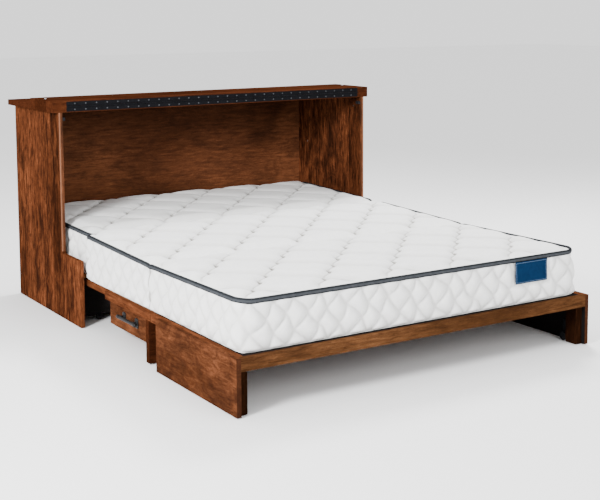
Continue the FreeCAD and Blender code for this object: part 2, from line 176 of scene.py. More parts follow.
woods = {
    # grain: the axis the grain follows; planks: the axis boards are joined across, and their width
    "cabinetWood": {"grain": "z", "planks": ("y", 0.118), "light": (0.195, 0.064, 0.026),
                    "mid": (0.103, 0.032, 0.0130), "dark": (0.010, 0.0040, 0.0025), "specular": 0.0,
                    "figure": 0.90, "spread": 0.17, "blotch": 0.7, "roughness": 0.40},
    "backWood": {"grain": "x", "planks": ("z", 1.4), "light": (0.215, 0.078, 0.034),
                 "mid": (0.118, 0.042, 0.019), "dark": (0.024, 0.010, 0.006), "paintedLidShade": 0.42, "figure": 0.35,
                 "spread": 0.30, "blotch": 0.4, "roughness": 0.42},
    "lidWood": {"grain": "x", "planks": ("y", 0.142), "light": (0.092, 0.030, 0.012),
                "mid": (0.054, 0.016, 0.0065), "dark": (0.018, 0.0055, 0.003), "specular": 0.0, "figure": 0.45,
                "spread": 0.24, "blotch": 0.3, "roughness": 0.38},
    "railWood": {"grain": "x", "planks": ("z", 0.4), "light": (0.150, 0.066, 0.028),
                 "mid": (0.084, 0.036, 0.015), "dark": (0.026, 0.011, 0.005), "specular": 0.0, "figure": 0.5,
                 "spread": 0.22, "blotch": 0.35, "roughness": 0.40},
    "sideRailWood": {"grain": "y", "planks": ("z", 0.4), "light": (0.190, 0.066, 0.028),
                     "mid": (0.110, 0.036, 0.015), "dark": (0.030, 0.010, 0.005), "specular": 0.0,
                     "figure": 0.5, "spread": 0.22, "blotch": 0.2, "roughness": 0.40},
    "baseWood": {"grain": "y", "planks": ("z", 0.105), "light": (0.205, 0.076, 0.034),
                 "mid": (0.102, 0.036, 0.016), "dark": (0.024, 0.009, 0.005), "specular": 0.0, "figure": 0.62,
                 "spread": 0.22, "blotch": 0.45, "roughness": 0.42, "stretch": 0.62},
    "postWood": {"grain": "z", "planks": ("y", 0.4), "light": (0.036, 0.013, 0.006),
                 "mid": (0.019, 0.007, 0.003), "dark": (0.007, 0.003, 0.002), "specular": 0.0, "figure": 0.5,
                 "spread": 0.22, "blotch": 0.3, "roughness": 0.45},
    "deckWood": {"grain": "x", "planks": ("y", 0.15), "light": (0.24, 0.105, 0.045), "mid": (0.17, 0.07, 0.028),
                 "dark": (0.07, 0.028, 0.012), "figure": 0.4, "spread": 0.25, "blotch": 0.2, "roughness": 0.5},
    "trayWood": {"grain": "x", "planks": ("z", 0.2), "light": (0.62, 0.45, 0.27), "mid": (0.52, 0.36, 0.20),
                 "dark": (0.33, 0.21, 0.11), "figure": 0.3, "spread": 0.25, "blotch": 0.1, "roughness": 0.5},
    "blackWood": {"grain": "x", "planks": ("z", 0.3), "light": (0.016, 0.015, 0.014),
                  "mid": (0.011, 0.010, 0.010), "dark": (0.005, 0.005, 0.005), "figure": 0.3, "spread": 0.25,
                  "blotch": 0.2, "roughness": 0.55},
}


faceLightAndTone = {  # faces of a board that differ from the rest of it: a painted highlight, painted shade and darker faces
    "pale": (0.36, 0.165, 0.095), "paintedGapShade": (0.010, 0.009, 0.009), "black": (0.007, 0.006, 0.006),
    "ledgeTop": 0.30, "highlightFrom": 0.8035, "highlightTo": 0.8095, "endShare": 0.72,
}


def stainedWood(name, innerBlack=0, faces=""):
    recipe = woods[name]
    ending = {1: "Left", -1: "Right", 0: ""}[innerBlack] + faces
    material, tree, shader = newMaterial(name + ending)
    place = addNode(tree, "TexCoord").outputs["Object"]
    axes = addNode(tree, "SeparateXYZ", i0=place).outputs
    axis, width = recipe["planks"]
    plank = math2(tree, "FLOOR", math2(tree, "DIVIDE", axes["xyz".index(axis)], width))
    chance = addNode(tree, "TexWhiteNoise", {"noise_dimensions": "1D"}, W=plank).outputs["Value"]
    slip = math2(tree, "MULTIPLY", chance, 7.3)
    shift = addNode(tree, "CombineXYZ", i0=slip, i1=slip, i2=slip).outputs[0]
    moved = addNode(tree, "VectorMath", {"operation": "ADD"}, i0=place, i1=shift).outputs[0]

    def grainNoise(along, across, scale, detail, rough, twist):
        stretch = [max(1.0, across * recipe.get("stretch", 1.0))] * 3
        stretch["xyz".index(recipe["grain"])] = along
        mapped = addNode(tree, "Mapping", i0=moved, i3=tuple(stretch)).outputs[0]
        return addNode(tree, "TexNoise", Vector=mapped, Scale=scale, Detail=detail, Roughness=rough,
                       Distortion=twist).outputs["Fac"]

    streak = grainNoise(1, 8, 11, 8, 0.70, 0.6)
    figure = grainNoise(1, 2.6, 15, 7, 0.68, 1.1)
    blotch = grainNoise(1, 2.1, 2.8, 7, 0.68, 1.2)
    speck = grainNoise(1, 2.8, 34, 5, 0.75, 1.0)
    pores = grainNoise(1, 7, 110, 3, 0.65, 0)
    broad = grainNoise(1, 1.4, 1.6, 2, 0.5, 0.4)
    spread = recipe["spread"]
    color = ramp(tree, streak, [(0.5 - spread, recipe["dark"]), (0.5, recipe["mid"]),
                                (0.5 + spread, recipe["light"])])
    tone = ramp(tree, broad, [(0.34, (0.58, 0.55, 0.52)), (0.66, (1.26, 1.24, 1.20))])
    color = mixColor(tree, "MULTIPLY", 1.0, color, tone)
    for noise, start, full, share in ((figure, 0.44, 0.66, recipe["figure"] * 0.8),
                                      (blotch, 0.49, 0.62, recipe["blotch"]),
                                      (speck, 0.56, 0.70, recipe["figure"] * 0.55)):
        mark = ramp(tree, noise, [(start, (0.0, 0.0, 0.0)), (full, (1.0, 1.0, 1.0))])
        color = mixColor(tree, "MIX", math2(tree, "MULTIPLY", mark, share), color, recipe["dark"])
    pore = ramp(tree, pores, [(0.36, (0.62, 0.58, 0.55)), (0.52, (1.0, 1.0, 1.0))])
    color = mixColor(tree, "MULTIPLY", 0.75, color, pore)
    tones = [addNode(tree, "MapRange", i0=chance, i3=0.80, i4=1.18).outputs[0]]
    if "paintedLidShade" in recipe:  # painted shade from the lid: darker towards the top
        tones.append(addNode(tree, "MapRange", i0=axes[2], i1=0.55, i2=0.90, i3=1.0,
                             i4=recipe["paintedLidShade"]).outputs[0])
    for tone in tones:
        grey = addNode(tree, "CombineColor", i0=tone, i1=tone, i2=tone).outputs[0]
        color = mixColor(tree, "MULTIPLY", 1.0, color, grey)
    facing = addNode(tree, "SeparateXYZ", i0=addNode(tree, "TexCoord").outputs["Normal"]).outputs
    if faces:
        if faces == "PaintedHighlightEdge":  # painted highlight: a pale strip on the outer arris of the front edge above the ledge
            high = math2(tree, "GREATER_THAN", axes[2], faceLightAndTone["ledgeTop"])
            highlightBand = addNode(tree, "MapRange", i0=math2(tree, "ABSOLUTE", axes[0]), i1=faceLightAndTone["highlightFrom"],
                             i2=faceLightAndTone["highlightTo"], i3=0.06, i4=0.42).outputs[0]
            share = math2(tree, "MULTIPLY", math2(tree, "LESS_THAN", facing[1], -0.6),
                          math2(tree, "MULTIPLY", high, highlightBand))
            color = mixColor(tree, "MIX", share, color, faceLightAndTone["pale"])
        else:  # painted shade: the top face is made near-black for the shadow gap under the mattress's foot edge
            color = mixColor(tree, "MIX", math2(tree, "GREATER_THAN", facing[2], 0.8), color, faceLightAndTone["paintedGapShade"])
    if innerBlack:  # the face that looks towards the bed's middle is made near-black, the front end darker
        inner = math2(tree, "GREATER_THAN", math2(tree, "MULTIPLY", facing[0], innerBlack), 0.5)
        color = mixColor(tree, "MIX", inner, color, faceLightAndTone["black"])
        frontEnd = math2(tree, "MULTIPLY", math2(tree, "LESS_THAN", facing[1], -0.8), faceLightAndTone["endShare"])
        color = mixColor(tree, "MIX", frontEnd, color, recipe["dark"])
    tree.links.new(color, shader.inputs["Base Color"])
    gloss = addNode(tree, "MapRange", i0=streak, i3=recipe["roughness"] + 0.10,
                    i4=recipe["roughness"] - 0.06).outputs[0]
    tree.links.new(gloss, shader.inputs["Roughness"])
    shader.inputs["Specular IOR Level"].default_value = recipe.get("specular", 0.008)
    relief = addNode(tree, "Bump", Strength=0.25, Distance=0.0006, Height=pores)
    tree.links.new(relief.outputs[0], shader.inputs["Normal"])
    return material


metals = {
    "blackIron": {"color": (0.005, 0.0055, 0.006, 1), "metallic": 0.20, "roughness": 0.5, "pits": 260,
                  "depth": 0.0004},
    "hingeIron": {"color": (0.004, 0.004, 0.005, 1), "metallic": 0.0, "specular": 0.03, "roughness": 0.5,
                  "pits": 500, "depth": 0.0001},
    "brightSteel": {"color": (0.62, 0.62, 0.63, 1), "metallic": 1.0, "roughness": 0.28, "pits": 900,
                    "depth": 0.00005},
    "screwSteel": {"color": (0.030, 0.032, 0.036, 1), "metallic": 0.25, "roughness": 0.5, "pits": 900,
                   "depth": 0.00005},
    "blackPlastic": {"color": (0.008, 0.008, 0.009, 1), "metallic": 0.0, "specular": 0.06, "roughness": 0.5,
                     "pits": 700, "depth": 0.0001},
    "wheelRubber": {"color": (0.010, 0.010, 0.011, 1), "metallic": 0.0, "specular": 0.06, "roughness": 0.6,
                    "pits": 400, "depth": 0.0002},
}


def hardFinish(name):
    recipe = metals[name]
    material, tree, shader = newMaterial(name)
    place = addNode(tree, "TexCoord").outputs["Object"]
    pits = addNode(tree, "TexNoise", Vector=place, Scale=recipe["pits"], Detail=3, Roughness=0.6).outputs["Fac"]
    wear = addNode(tree, "TexNoise", Vector=place, Scale=35, Detail=4, Roughness=0.6).outputs["Fac"]
    low = tuple(c * 0.8 for c in recipe["color"][:3])
    high = tuple(min(1, c * 1.35) for c in recipe["color"][:3])
    tree.links.new(ramp(tree, wear, [(0.3, low), (0.7, high)]), shader.inputs["Base Color"])
    shader.inputs["Metallic"].default_value = recipe["metallic"]
    shader.inputs["Specular IOR Level"].default_value = recipe.get("specular", 0.3)
    gloss = addNode(tree, "MapRange", i0=wear, i3=recipe["roughness"] + 0.08, i4=recipe["roughness"] - 0.08)
    tree.links.new(gloss.outputs[0], shader.inputs["Roughness"])
    relief = addNode(tree, "Bump", Strength=0.5, Distance=recipe["depth"], Height=pits)
    tree.links.new(relief.outputs[0], shader.inputs["Normal"])
    return material


cloths = {
    "quiltCloth": {"low": (0.83, 0.83, 0.82), "high": (0.90, 0.90, 0.89), "weave": 620, "crease": 38},
    "tapeEdge": {"low": (0.010, 0.0115, 0.0135), "high": (0.018, 0.020, 0.023), "weave": 900, "crease": 60},
    "tapeMiddle": {"low": (0.032, 0.035, 0.040), "high": (0.048, 0.052, 0.058), "weave": 900, "crease": 60},
    "tuftThread": {"low": (0.20, 0.18, 0.15), "high": (0.30, 0.27, 0.23), "weave": 1500, "crease": 90},
    "tagCloth": {"low": (0.0010, 0.012, 0.040), "high": (0.0020, 0.019, 0.056), "weave": 1100, "crease": 50},
    "tagThread": {"low": (0.10, 0.16, 0.24), "high": (0.14, 0.21, 0.30), "weave": 1500, "crease": 90},
}


# colour and places of painted shade in the quilting, mixed with the thread colour
stitchAndShade = {"shade": (0.19, 0.175, 0.150), "jointReach": 1.390, "foldReach": 0.735, "shadeReach": 0.668}


def stitchesAndShade(tree):
    # thread lines with painted shade in their grooves lie where a lattice place is a whole number; painted shade in
    # the tuft notches sits on every half step
    place = addNode(tree, "SeparateXYZ", i0=addNode(tree, "Attribute", {"attribute_name": "quiltPlace"}).outputs[1])
    span = addNode(tree, "Attribute", {"attribute_name": "quiltSpan"}).outputs["Fac"]
    mask = place.outputs[2]

    def toWhole(value, share):
        apart = math2(tree, "ABSOLUTE", math2(tree, "SUBTRACT", value, math2(tree, "ROUND", value)))
        return math2(tree, "MULTIPLY", math2(tree, "MULTIPLY", apart, span), share)

    def near(distance, inner, outer, strength):
        return addNode(tree, "MapRange", {"interpolation_type": "SMOOTHSTEP"}, i0=distance, i1=inner, i2=outer,
                       i3=strength, i4=0.0).outputs[0]

    toLine, toCross = toWhole(place.outputs[0], 1.0), toWhole(place.outputs[1], 1.0)
    toTuft = toWhole(math2(tree, "MULTIPLY", place.outputs[1], 2.0), 0.5)
    threadAndGrooveShade = math2(tree, "MAXIMUM", near(toLine, 0.001, 0.0085, 0.50), near(toCross, 0.001, 0.012, 0.55))
    # painted shade in the valleys between the puffs
    valleyShade = math2(tree, "ADD", near(toLine, 0.0, 0.050, 0.11), near(toCross, 0.0, 0.042, 0.24))
    threadAndGrooveShade = math2(tree, "MAXIMUM", threadAndGrooveShade, valleyShade)
    apart = math2(tree, "SQRT", math2(tree, "ADD", math2(tree, "MULTIPLY", toLine, toLine),
                                      math2(tree, "MULTIPLY", toTuft, math2(tree, "MULTIPLY", toTuft, 0.35))))
    onTop = addNode(tree, "MapRange", i0=mask, i1=0.70, i2=0.95).outputs[0]
    tuftShade = math2(tree, "MULTIPLY", near(apart, 0.004, 0.015, 1.0), onTop)
    # painted shade: the joint of the middle and foot panels shows as a dark line down the side
    along = addNode(tree, "SeparateXYZ", i0=addNode(tree, "TexCoord").outputs["Object"]).outputs[1]

    def fromReach(reach):
        return math2(tree, "ABSOLUTE", math2(tree, "SUBTRACT", along, reachY(reach)))

    beside = fromReach(stitchAndShade["jointReach"])
    onSide = addNode(tree, "MapRange", i0=mask, i1=0.52, i2=0.70, i3=1.5, i4=0.0).outputs[0]
    jointShade = math2(tree, "MULTIPLY", near(beside, 0.002, 0.0065, 0.85), onSide)
    threadAndGrooveShade = math2(tree, "MAXIMUM", threadAndGrooveShade, jointShade)
    # painted shade along the fold of the head and middle panels, and beside it
    fromFold = fromReach(stitchAndShade["foldReach"])
    foldShade = math2(tree, "MAXIMUM", near(fromFold, 0.003, 0.034, 0.26), near(fromFold, 0.001, 0.006, 0.45))
    foldShade = math2(tree, "MAXIMUM", foldShade, near(fromReach(stitchAndShade["shadeReach"]), 0.012, 0.115, 0.24))
    sewnAndShaded = math2(tree, "MULTIPLY", math2(tree, "MAXIMUM", threadAndGrooveShade, tuftShade), math2(tree, "MINIMUM", mask, 1.0))
    return math2(tree, "MAXIMUM", sewnAndShaded, foldShade)


def clothFinish(name):
    recipe = cloths[name]
    material, tree, shader = newMaterial(name)
    place = addNode(tree, "TexCoord").outputs["Object"]
    crease = addNode(tree, "TexNoise", Vector=place, Scale=recipe["crease"], Detail=5, Roughness=0.55,
                     Distortion=0.8).outputs["Fac"]
    weave = addNode(tree, "TexVoronoi", {"feature": "F1"}, Vector=place, Scale=recipe["weave"]).outputs["Distance"]
    color = ramp(tree, crease, [(0.3, recipe["low"]), (0.7, recipe["high"])])
    # seam: thread lines and painted shade of the quilting
    seam = stitchesAndShade(tree) if name == "quiltCloth" else None
    if seam is not None:
        color = mixColor(tree, "MIX", seam, color, stitchAndShade["shade"])
    tree.links.new(color, shader.inputs["Base Color"])
    shader.inputs["Roughness"].default_value = 0.9
    shader.inputs["Specular IOR Level"].default_value = 0.05
    soft = addNode(tree, "Bump", Strength=0.35, Distance=0.0016, Height=crease)
    if seam is not None:
        sunk = math2(tree, "SUBTRACT", 1.0, seam)
        soft = addNode(tree, "Bump", Strength=0.6, Distance=0.003, Height=sunk, Normal=soft.outputs[0])
    fine = addNode(tree, "Bump", Strength=0.3, Distance=0.0004, Height=weave, Normal=soft.outputs[0])
    tree.links.new(fine.outputs[0], shader.inputs["Normal"])
    return material


finishes = {name: stainedWood(name) for name in woods}
finishes.update({name: hardFinish(name) for name in metals})
finishes.update({name: clothFinish(name) for name in cloths})
finishes["baseWoodLeft"] = stainedWood("baseWood", 1)
finishes["baseWoodRight"] = stainedWood("baseWood", -1)
finishes["cabinetWoodPaintedHighlightEdge"] = stainedWood("cabinetWood", 0, "PaintedHighlightEdge")
finishes["lidWoodPaintedShadeTop"] = stainedWood("lidWood", 0, "PaintedShadeTop")
print("materials made", len(finishes))

# CAD pieces that stay as they are, each with its finish
nodeFinish = {
    "side_panel_left": "cabinetWoodPaintedHighlightEdge", "side_panel_right": "cabinetWoodPaintedHighlightEdge",
    "corner_cleats": "cabinetWood",
    "back_panel": "backWood", "top_board": "lidWood", "lid_board": "lidWood", "head_deck": "deckWood",
    "deck_glides": "blackPlastic", "lid_catches": "blackPlastic", "screw_heads": "brightSteel",
    "lid_studs": "brightSteel", "lid_hinge_leaf_fixed": "hingeIron", "lid_hinge_leaf_moving": "hingeIron",
    "lid_hinge_pin": "hingeIron", "foot_hinge_leaf_fixed": "hingeIron", "foot_hinge_leaf_moving": "hingeIron",
    "foot_hinge_pin": "hingeIron", "base_deck_rear": "deckWood", "base_deck_front": "deckWood",
    "base_rear_rails": "sideRailWood", "base_side_rails": "sideRailWood", "base_rear_board": "blackWood",
    # painted shade: base_front_board takes the darker lidWood, as it lies in the foot deck's shadow
    "base_stringers": "blackWood", "base_partition": "baseWood", "base_front_board": "lidWood",
    "base_floor": "deckWood", "base_divider": "deckWood", "drawer_tracks": "brightSteel",
    "foot_deck": "lidWoodPaintedShadeTop", "foot_side_rails": "sideRailWood", "foot_rail": "railWood",
    "leg_board_left": "baseWoodLeft", "leg_board_right": "baseWoodRight",
    "leg_posts": "postWood", "foot_wheel_plate_left": "blackPlastic", "foot_wheel_plate_right": "blackPlastic",
    "foot_wheel_left": "wheelRubber", "foot_wheel_right": "wheelRubber",
}
for side in ("left", "right"):
    nodeFinish[f"drawer_front_{side}"] = "baseWood"
    nodeFinish[f"drawer_tray_{side}"] = "trayWood"
    nodeFinish[f"drawer_slides_{side}"] = "brightSteel"
    for place in ("front", "rear"):
        nodeFinish[f"caster_fork_{place}_{side}"] = "blackPlastic"
        nodeFinish[f"caster_wheel_{place}_{side}"] = "wheelRubber"

edgeEase = {"wood": 0.0016, "other": 0.0004}  # how far each sharp edge is eased


def dressNodes():
    for name, finish in nodeFinish.items():
        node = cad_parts[name]
        for slot in node.material_slots:
            slot.material = finishes[finish]
        ease = node.modifiers.new("easedEdges", "BEVEL")
        ease.width = edgeEase["wood"] if "Wood" in finish else edgeEase["other"]
        ease.segments = 2
        ease.limit_method = "ANGLE"
        ease.angle_limit = math.radians(40)
        ease.harden_normals = False


dressNodes()
print("frame pieces dressed", len(nodeFinish))


# Mesh helpers
def makeObject(name, points, faces, materials, marks):
    mesh = bpy.data.meshes.new(name)
    mesh.from_pydata([tuple(p) for p in points], [], [tuple(f) for f in faces])
    for finish in materials:
        mesh.materials.append(finishes[finish])
    mesh.polygons.foreach_set("material_index", marks)
    mesh.polygons.foreach_set("use_smooth", [True] * len(mesh.polygons))
    mesh.update()
    piece = bpy.data.objects.new(name, mesh)
    bpy.context.collection.objects.link(piece)
    return piece


class Builder:  # gathers points and faces of one piece, with a material mark for each face
    def __init__(self):
        self.points, self.faces, self.marks = [], [], []

    def add(self, points, faces, mark=0):
        start = len(self.points)
        self.points += [tuple(p) for p in points]
        self.faces += [tuple(start + i for i in face) for face in faces]
        self.marks += [mark] * len(faces)

    def loft(self, rings, mark=0):
        count = len(rings[0])
        faces = []
        for level in range(len(rings) - 1):
            a, b = level * count, (level + 1) * count
            faces += [(a + i, a + (i + 1) % count, b + (i + 1) % count, b + i) for i in range(count)]
        faces.append(tuple(range(count))[::-1])
        faces.append(tuple(range((len(rings) - 1) * count, len(rings) * count)))
        self.add([p for ring in rings for p in ring], faces, mark)

    def finish(self, name, materials):
        return makeObject(name, self.points, self.faces, materials, self.marks)


def circleRing(center, axis, radius, count=20, squareness=0.0):
    axis = Vector(axis).normalized()
    side = axis.orthogonal().normalized()
    if abs(axis.z) < 0.9:
        side = axis.cross(Vector((0, 0, 1))).normalized()
    up = side.cross(axis)
    ring = []
    for step in range(count):
        angle = 2 * math.pi * step / count
        c, s = math.cos(angle), math.sin(angle)
        power = 2 + squareness * 6
        reach = radius / (abs(c) ** power + abs(s) ** power) ** (1 / power)
        ring.append(Vector(center) + side * (c * reach) + up * (s * reach))
    return ring


# Drawer pulls: black iron bar with swollen ends, on two posts with square feet
pull = {
    "faceX": 0.766, "standoff": 0.0200, "height": 0.120, "length": 0.182, "spacing": 0.120, "bar": 0.0068,
    "swell": 0.0078, "post": 0.0070, "foot": 0.0140, "footTall": 1.45, "footThick": 0.0045, "middleReach": 1.184,
}


def drawerPull(side, sign):
    build = Builder()
    barX = sign * (pull["faceX"] + pull["standoff"])
    middleY = reachY(pull["middleReach"])
    half = pull["length"] / 2
    spots = [(-1.0, 0.15), (-0.985, 0.62), (-0.95, 0.92), (-0.90, 1.0), (-0.84, 1.0), (-0.80, 0.88), (-0.77, 0.0),
             (-0.55, 0.0), (0.0, 0.0), (0.55, 0.0), (0.77, 0.0), (0.80, 0.88), (0.84, 1.0), (0.90, 1.0),
             (0.95, 0.92), (0.985, 0.62), (1.0, 0.15)]
    rings = []
    for along, swell in spots:
        end = abs(along) > 0.93
        radius = pull["swell"] * swell if end else pull["bar"] + (pull["swell"] - pull["bar"]) * swell
        rings.append(circleRing((barX, middleY + along * half, pull["height"]), (0, 1, 0), max(radius, 0.0008), 22))
    build.loft(rings)
    for end in (-1, 1):
        y = middleY + end * pull["spacing"] / 2
        face = sign * pull["faceX"]
        levels = [(0.0, 1.0), (0.4, 1.0), (0.85, 0.93), (1.0, 0.80)]
        rings = [circleRing((face + sign * pull["footThick"] * t, y, pull["height"]), (sign, 0, 0),
                            pull["foot"] * share, 28, 0.55) for t, share in levels]
        build.loft([[(p[0], p[1], pull["height"] + (p[2] - pull["height"]) * pull["footTall"]) for p in ring]
                    for ring in rings])
        neck = [(0.10, 1.55), (0.22, 1.15), (0.45, 0.95), (0.75, 1.0), (0.92, 1.2), (1.0, 1.25)]
        build.loft([circleRing((face + sign * pull["standoff"] * t, y, pull["height"]), (sign, 0, 0),
                               pull["post"] * share, 20, 0.15) for t, share in neck])
    piece = build.finish(f"drawerPull_{side}", ["blackIron"])
    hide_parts(f"drawer_handle_{side}")
    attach(piece, f"drawer_{side}")


for side, sign in (("left", -1), ("right", 1)):
    drawerPull(side, sign)
print("drawer pulls made")

# Lid hinge screws: small countersunk heads along both leaves
hingeScrews = {"radius": 0.0036, "height": 0.0007, "pitch": 0.0508, "first": -0.7366, "count": 30,
               "faceReach": 0.5680, "fixedHeight": 0.9240, "movingHeight": 0.9500}


def hingeScrewRow(name, height, body):
    build = Builder()
    y = reachY(hingeScrews["faceReach"])
    for number in range(hingeScrews["count"]):
        x = hingeScrews["first"] + hingeScrews["pitch"] * number
        shape = [(0.0, 1.0), (0.5, 1.0), (0.9, 0.8), (1.0, 0.45)]
        build.loft([circleRing((x, y - hingeScrews["height"] * t, height), (0, -1, 0),
                               hingeScrews["radius"] * r, 14) for t, r in shape])
    piece = build.finish(name, ["screwSteel"])
    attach(piece, body)


hingeScrewRow("hingeScrewsFixed", hingeScrews["fixedHeight"], "cabinet")
hingeScrewRow("hingeScrewsMoving", hingeScrews["movingHeight"], "lid")
print("hinge screws made")

# Mattress: three quilted panels
quilt = {
    "cell": 0.0060,  # mesh cell, metres
    "slant": 0.91, "firstLine": -0.030, "firstCross": -1.600, "lattice": 0.295,
    "wobble": 0.008, "puff": 0.0205, "lineWide": 0.013, "crossWide": 0.016, "tuftDepth": 0.0070,
    "tuftRadius": 0.010,
    "sideWide": 0.088, "sideTall": 0.112, "sidePuff": 0.0150, "sideValley": 0.0100,
    "rim": 0.058,  # the quilting fades out over this width at the top's rim
    "sideRound": 0.038, "bow": 0.006, "sink": 0.006, "ripple": 0.0012,
}
panels = {
    "mattressHead": {"node": "mattress_head", "body": "cabinet", "half": 0.7635, "sideDrop": (0.007, 0.008),
                     "squareness": 0.0, "rear": 0.045, "front": 0.7335, "bottom": 0.2184, "rearTop": 0.420,
                     "frontTop": 0.406, "corners": (0.045, 0.048), "rearEdge": (0.016, 0.040),
                     "frontEdge": (0.022, 0.040), "closed": True, "squash": (0.045, 0.50)},
    "mattressMiddle": {"node": "mattress_middle", "body": "base", "half": 0.7740, "sideDrop": (0.008, 0.009),
                       "squareness": 0.0, "rear": 0.7365, "front": 1.3895, "bottom": 0.2054, "rearTop": 0.404,
                       "frontTop": 0.388, "corners": (0.055, 0.0), "rearEdge": (0.040, 0.055),
                       "frontEdge": (0.0035, 0.012), "closed": False, "squash": (1.389, 0.53)},
    "mattressFoot": {"node": "mattress_foot", "body": "foot_mattress", "half": 0.7740,
                     "sideDrop": (0.009, 0.003), "squareness": 0.45, "rear": 1.3905, "front": 2.100,
                     "bottom": 0.2054, "rearTop": 0.388, "frontTop": 0.388, "corners": (0.0, 0.058),
                     "rearEdge": (0.0035, 0.012), "frontEdge": (0.006, 0.030), "closed": False, "squash": None},
}


def roll(distance, radius):
    inside = np.clip(1 - distance / radius, 0, 1)
    return 1 - np.sqrt(1 - inside ** 2)


def smooth(t):
    t = np.clip(t, 0, 1)
    return t * t * (3 - 2 * t)


def quiltHeight(x, reach):
    u = x + quilt["slant"] * reach - quilt["firstLine"]
    v = x - quilt["slant"] * reach - quilt["firstCross"]
    step = quilt["lattice"]
    u2 = u + quilt["wobble"] * np.sin(2 * np.pi * v / step * 2)
    v2 = v + quilt["wobble"] * 1.3 * np.sin(2 * np.pi * u / step)
    steep = math.hypot(1, quilt["slant"])
    toLine = np.abs(u2 - step * np.round(u2 / step)) / steep
    toCross = np.abs(v2 - step * np.round(v2 / step)) / steep
    height = quilt["puff"] * (1 - 0.85 * np.exp(-toLine / quilt["lineWide"])) * (
        1 - 0.72 * np.exp(-toCross / quilt["crossWide"]))
    half = step / 2
    tuftV = v - half * np.round(v / half)
    tuftU = u - step * np.round(u / step)
    apart = ((tuftU + tuftV) / 2) ** 2 + ((tuftU - tuftV) / (2 * quilt["slant"])) ** 2
    notch = np.exp(-apart / (2 * quilt["tuftRadius"] ** 2))
    return height - quilt["tuftDepth"] * notch, u2 / step, v2 / step


def wave(x, y, seed):
    total = 0
    for k in range(5):
        angle = seed * 1.7 + k * 2.399
        scale = 7.0 * 1.55 ** k
        total = total + np.sin((x * math.cos(angle) + y * math.sin(angle)) * scale + seed * 3.1 + k) / 1.5 ** k
    return total / 2.2


def panelSurface(panel, half):
    length = panel["front"] - panel["rear"]
    across = int(round(2 * half / quilt["cell"]))
    along = int(round(length / quilt["cell"]))
    x, d = np.meshgrid(np.linspace(-half, half, across + 1), np.linspace(0, length, along + 1), indexing="ij")
    sideWide = quilt["sideRound"]
    rearDrop, frontDrop = panel["sideDrop"]
    sideDeep = rearDrop + (frontDrop - rearDrop) * d / length
    drops = [sideDeep * roll(half - np.abs(x), sideWide),
             panel["rearEdge"][0] * roll(d, panel["rearEdge"][1]),
             panel["frontEdge"][0] * roll(length - d, panel["frontEdge"][1])]
    drop = sum(one ** 3 for one in drops) ** (1 / 3)
    nearest = np.minimum(half - np.abs(x), np.minimum(d, length - d))
    normal = np.zeros(x.shape + (2,))
    normal[0, :, 0], normal[-1, :, 0] = -1, 1
    normal[1:-1, 0, 1], normal[1:-1, -1, 1] = -1, 1
    for atFront, radius, edge in ((False, panel["corners"][0], panel["rearEdge"]),
                                  (True, panel["corners"][1], panel["frontEdge"])):
        if not radius:
            continue
        a = (np.abs(x) - (half - radius)) / radius
        b = (d - (length - radius)) / radius if atFront else (radius - d) / radius
        inside = (a > 0) & (b > 0)
        a, b, sign = a[inside], b[inside], np.sign(x[inside])
        a2, b2 = a * np.sqrt(1 - b * b / 2), b * np.sqrt(1 - a * a / 2)
        rho = np.hypot(a2, b2)
        share = a2 ** 2 / np.maximum(rho ** 2, 1e-9)
        x[inside] = sign * (half - radius + a2 * radius)
        d[inside] = length - radius + b2 * radius if atFront else radius - b2 * radius
        deep = share * sideDeep[inside] + (1 - share) * edge[0]
        wide = share * sideWide + (1 - share) * edge[1]
        drop[inside] = deep * roll(radius * (1 - rho), wide)
        nearest[inside] = radius * (1 - rho)
        safe = np.maximum(rho, 1e-9)
        normal[inside, 0] = sign * a2 / safe
        normal[inside, 1] = (b2 if atFront else -b2) / safe
    reach = panel["rear"] + d
    top = panel["rearTop"] + (panel["frontTop"] - panel["rearTop"]) * d / length
    bow = quilt["bow"] * (1 - (x / half) ** 2)  # the top swells a little towards its middle
    mask = smooth(nearest / quilt["rim"])
    height, placeA, placeB = quiltHeight(x, reach)
    z = top - drop + mask * (height - quilt["sink"]) + bow * mask + quilt["ripple"] * mask * wave(x, reach, 1.0)
    return x, reach, z, normal, np.stack([placeA, placeB, mask], -1)


def outlineIndices(across, along):
    loop = [(i, 0) for i in range(across + 1)]
    loop += [(across, j) for j in range(1, along + 1)]
    loop += [(i, along) for i in range(across - 1, -1, -1)]
    loop += [(0, j) for j in range(along - 1, 0, -1)]
    return loop


def sideQuilt(run, height):
    wide, tall = quilt["sideWide"], quilt["sideTall"]
    run2 = run + 0.007 * np.sin(height * 55 + np.sin(run * 9) * 2) + 0.004 * np.sin(run * 31)
    height2 = height + 0.006 * np.sin(run * 43)
    one, two = run2 / wide + height2 / tall, run2 / wide - height2 / tall
    scale = 1 / math.hypot(1 / wide, 1 / tall)
    toOne = np.abs(one - np.round(one)) * scale
    toTwo = np.abs(two - np.round(two)) * scale
    puff = quilt["sidePuff"] * (1 - 0.9 * np.exp(-toOne / quilt["sideValley"])) * (
        1 - 0.9 * np.exp(-toTwo / quilt["sideValley"]))
    return puff, one, two, scale


# Bare woven tag sewn to the foot face
tag = {"left": 0.440, "right": 0.606, "low": 0.288, "high": 0.3745, "thick": 0.0012, "stand": 0.0095,
       "hem": 0.0050, "thread": 0.0009, "pitch": 0.0062}


def underTag(rim, out, height):
    # 1 where the quilting lies flat under the sewn tag
    middle, half = (tag["left"] + tag["right"]) / 2, (tag["right"] - tag["left"]) / 2
    across = smooth((half + 0.028 - np.abs(rim[:, 0] - middle)) / 0.020)
    return across * smooth((height - tag["low"] + 0.022) / 0.018) * (out[:, 1] < -0.7)


sideFace = {"levels": 30, "belly": 0.0040, "spread": 0.0045, "tuckedIn": 0.006, "ripple": 0.0010,
            "seamPull": 0.0085, "seamWide": 0.009}


